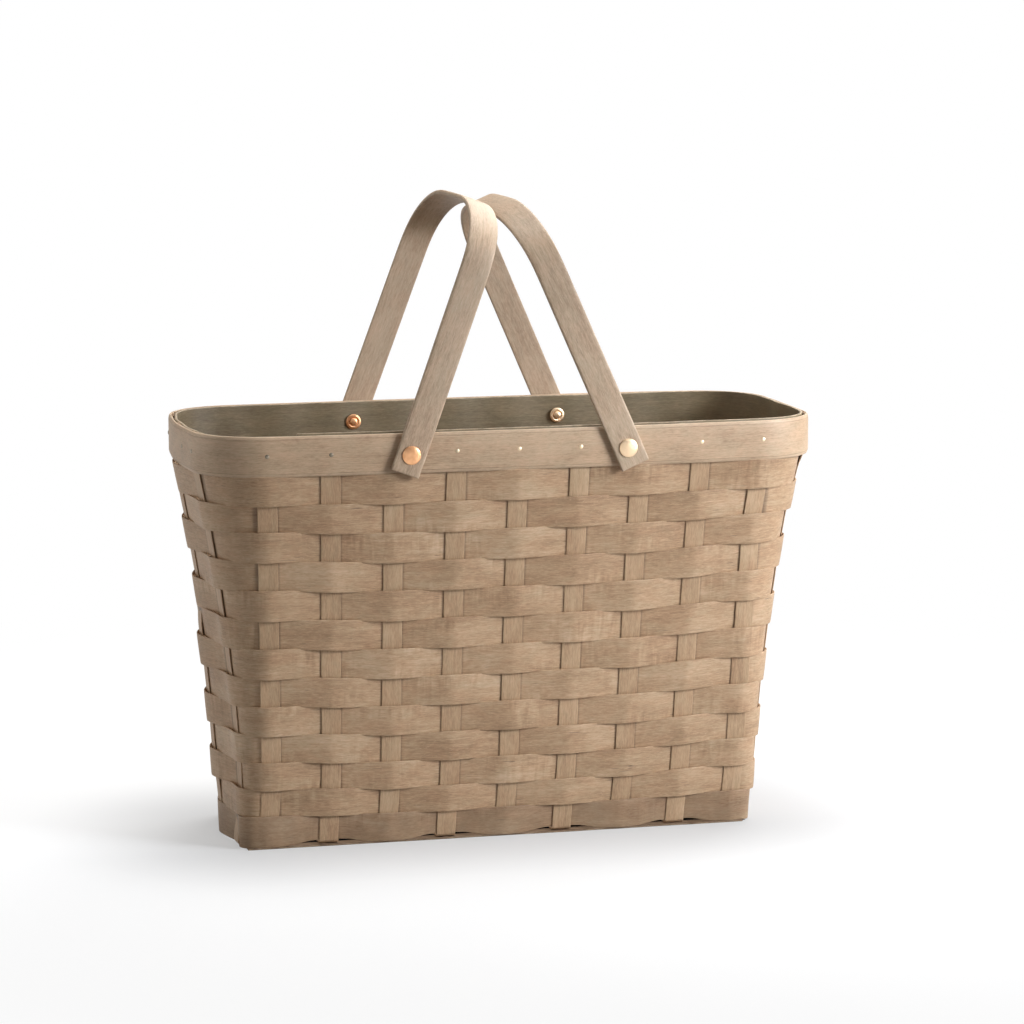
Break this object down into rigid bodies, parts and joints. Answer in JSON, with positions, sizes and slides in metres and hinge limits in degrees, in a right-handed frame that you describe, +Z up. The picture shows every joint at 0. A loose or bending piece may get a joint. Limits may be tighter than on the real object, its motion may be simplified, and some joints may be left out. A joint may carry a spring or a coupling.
{
  "type": "tote basket",
  "caption": "Rectangular flared tote basket woven from flat wood splints, with a nailed double rim and two riveted swing handles that lean together.",
  "frame": {"origin": "middle of the base on the ground plane that the basket stands on, under the middle of the rim", "axes": "+X runs along the length from the left handle to the right handle, -Y faces the front long side, +Z is up"},
  "size_m": [0.4592, 0.2166, 0.4686],
  "materials": {
    "weaver_splint": "stained splint, matt",
    "stake_splint": "stained splint, matt",
    "base_splint": "stained splint, matt",
    "rim_band": "stained and sealed, low sheen",
    "handle_wood": "steam-bent, stained and sealed, low sheen",
    "rivet_copper": "hammered copper, slightly worn",
    "nail_steel": "dull steel"
  },
  "bodies": {
    "basket": {"cross_stake_1": "stake_splint", "cross_stake_2": "stake_splint", "cross_stake_3": "stake_splint", "cross_stake_4": "stake_splint", "cross_stake_5": "stake_splint", "cross_stake_6": "stake_splint", "cross_stake_7": "stake_splint", "cross_stake_8": "stake_splint", "cross_stake_9": "stake_splint", "long_stake_1": "stake_splint", "long_stake_2": "stake_splint", "long_stake_3": "stake_splint", "base_filler_front": "base_splint", "base_edge_splint_front": "base_splint", "base_filler_back": "base_splint", "base_edge_splint_back": "base_splint", "weaver_row_01": "weaver_splint", "weaver_row_02": "weaver_splint", "weaver_row_03": "weaver_splint", "weaver_row_04": "weaver_splint", "weaver_row_05": "weaver_splint", "weaver_row_06": "weaver_splint", "weaver_row_07": "weaver_splint", "weaver_row_08": "weaver_splint", "weaver_row_09": "weaver_splint", "weaver_row_10": "weaver_splint", "weaver_row_11": "weaver_splint", "weaver_row_12": "weaver_splint", "weaver_row_13": "weaver_splint", "rim_band_outer": "rim_band", "rim_band_inner": "rim_band", "nail_front_1": "nail_steel", "nail_front_2": "nail_steel", "nail_front_3": "nail_steel", "nail_front_4": "nail_steel", "nail_front_5": "nail_steel", "nail_front_6": "nail_steel", "nail_front_7": "nail_steel", "nail_right_1": "nail_steel", "nail_right_2": "nail_steel", "nail_back_1": "nail_steel", "nail_back_2": "nail_steel", "nail_back_3": "nail_steel", "nail_back_4": "nail_steel", "nail_back_5": "nail_steel", "nail_back_6": "nail_steel", "nail_back_7": "nail_steel", "nail_left_1": "nail_steel", "nail_left_2": "nail_steel", "rivet_left_front": "rivet_copper", "rivet_burr_left_front": "rivet_copper", "rivet_left_back": "rivet_copper", "rivet_burr_left_back": "rivet_copper", "rivet_right_front": "rivet_copper", "rivet_burr_right_front": "rivet_copper", "rivet_right_back": "rivet_copper", "rivet_burr_right_back": "rivet_copper"},
    "left_handle": {"handle_left": "handle_wood"},
    "right_handle": {"handle_right": "handle_wood"}
  },
  "joints": [
    {"name": "left_handle_swing", "type": "hinge", "parent": "basket", "child": "left_handle", "pos_m": [-0.0797, 0, 0.2896], "axis": [0, -1, 0], "range_deg": [0, 144]},
    {"name": "right_handle_swing", "type": "hinge", "parent": "basket", "child": "right_handle", "pos_m": [0.0797, 0, 0.2896], "axis": [0, 1, 0], "range_deg": [0, 153]}
  ]
}
